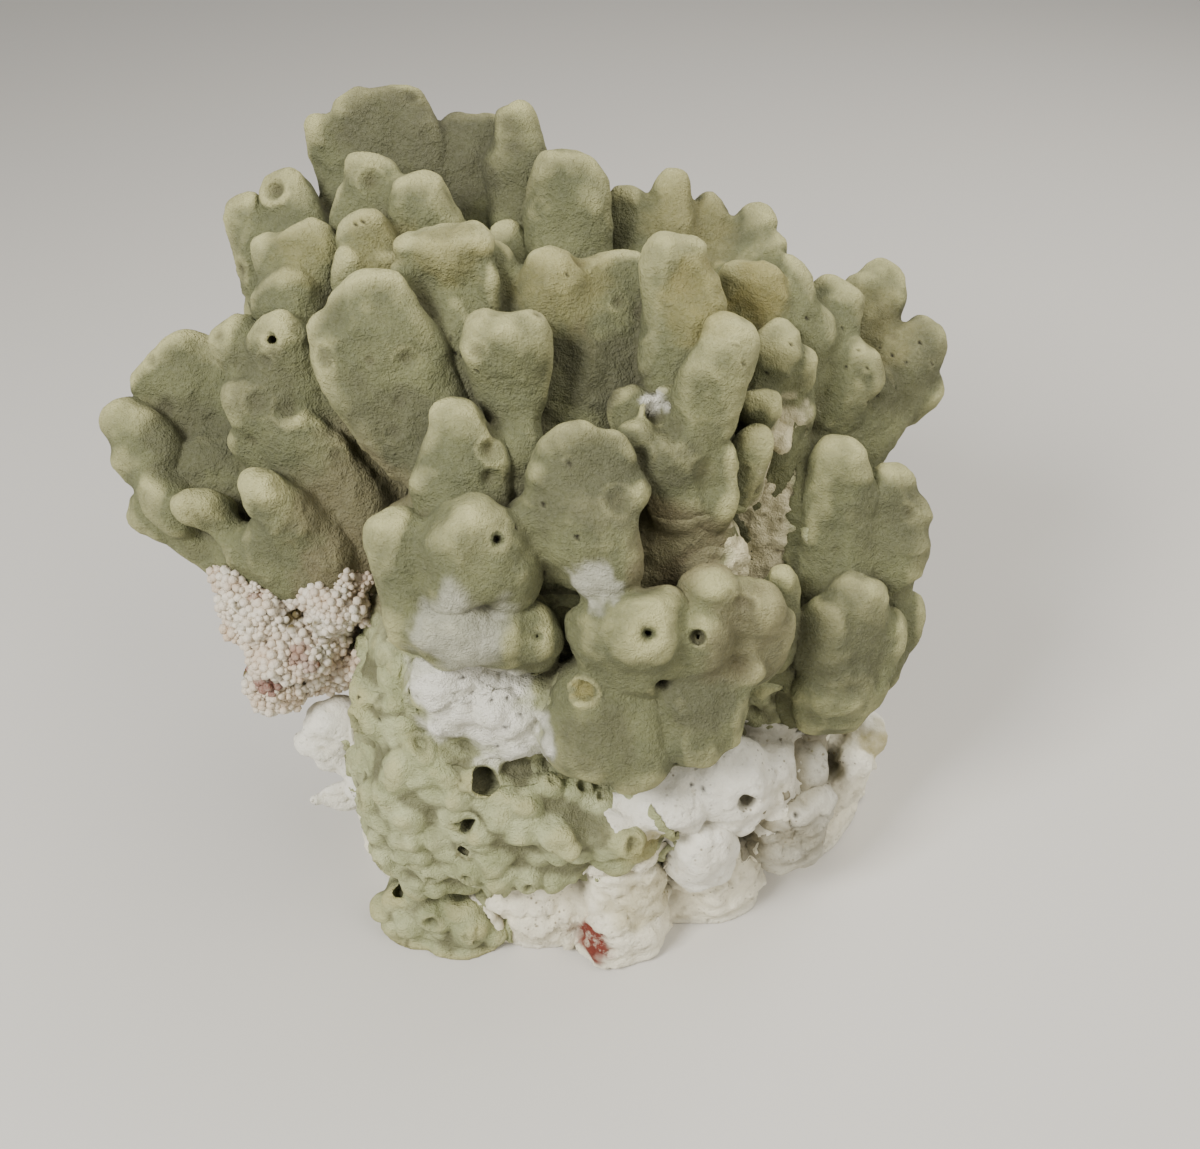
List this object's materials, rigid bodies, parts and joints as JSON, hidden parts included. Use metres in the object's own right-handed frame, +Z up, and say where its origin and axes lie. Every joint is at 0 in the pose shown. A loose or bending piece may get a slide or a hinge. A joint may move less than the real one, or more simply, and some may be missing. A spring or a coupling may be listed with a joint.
{
  "type": "fire coral",
  "caption": "Upright colony of thick, blunt, blade-like and thumb-like fire coral lobes on a flat-cut lump of pale reef rock.",
  "frame": {"origin": "centre of the footprint of the bounding box, on the flat cut that the specimen stands on", "axes": "+Z up, from the flat cut to the top of the blades; +X to the right and +Y away as seen from the pictured front"},
  "size_m": [0.3679, 0.246, 0.3508],
  "materials": {
    "coral": "matte, sage green",
    "chalky_coral": "matte, chalky white",
    "reef_rock": "matte, cream limestone",
    "knobby_crust": "matte, pinkish white"
  },
  "bodies": {
    "root": {"back_knobs": "coral", "back_left_blade": "coral", "back_middle_blade": "coral", "back_right_blade": "coral", "barnacle_knobs": "coral", "base_rock": "reef_rock", "broad_blade": "coral", "broken_stone": "reef_rock", "centre_blade": "coral", "chalk_lumps": "chalky_coral", "chalk_mass": "chalky_coral", "crescent_lobe": "coral", "crown_blade": "coral", "crown_finger": "coral", "crust": "coral", "ear_blade": "coral", "edge_stone": "reef_rock", "face_plate": "coral", "far_back_blade": "coral", "far_right_blade": "coral", "foot_lobe": "coral", "front_pair": "coral", "hook_blade": "coral", "knobbly_blade": "coral", "knobby_growth": "knobby_crust", "left_fan": "coral", "pillar": "coral", "rear_knobs": "coral", "right_blade": "coral", "right_foot": "coral", "right_thumb": "coral", "right_twin": "coral", "rubble_stone": "reef_rock", "shell_plate": "chalky_coral", "sloping_lobe": "coral", "stepped_blade": "coral", "thumb_blade": "coral", "trunk": "coral", "white_lump": "chalky_coral", "wide_blade": "coral", "wrinkled_knobs": "coral"}
  },
  "joints": []
}
